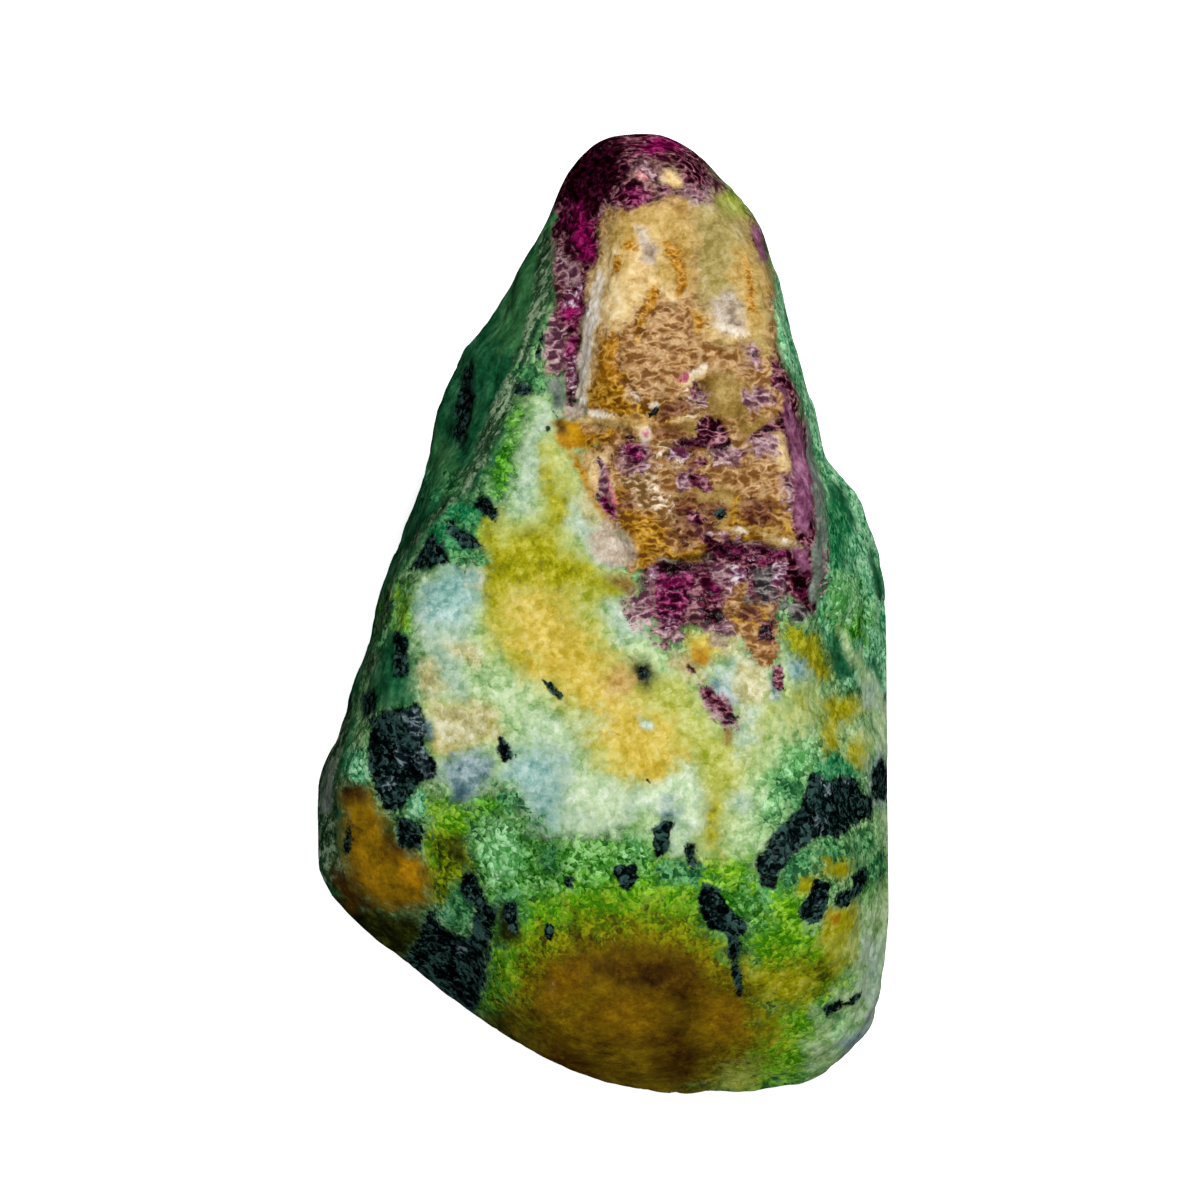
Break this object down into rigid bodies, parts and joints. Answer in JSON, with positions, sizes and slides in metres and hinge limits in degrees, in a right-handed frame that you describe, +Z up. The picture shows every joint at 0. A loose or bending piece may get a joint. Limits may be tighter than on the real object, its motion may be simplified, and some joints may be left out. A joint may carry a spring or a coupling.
{
  "type": "rough ruby in zoisite",
  "caption": "Uncut pear-shaped lump of green zoisite with a ruby crystal at its narrow end, black hornblende patches and iron stains, lying on a flat base.",
  "frame": {"origin": "middle of the bounding box in X and Y, on the plane that the stone rests on", "axes": "+Y towards the narrow ruby end, +Z up out of the face that shows the ruby, +X to the right when that face is seen with the narrow end up"},
  "size_m": [0.033, 0.056, 0.0244],
  "materials": {
    "ruby_in_zoisite": "rough natural surface, slightly waxy"
  },
  "bodies": {
    "root": {"ruby_in_zoisite_stone": "ruby_in_zoisite"}
  },
  "joints": []
}
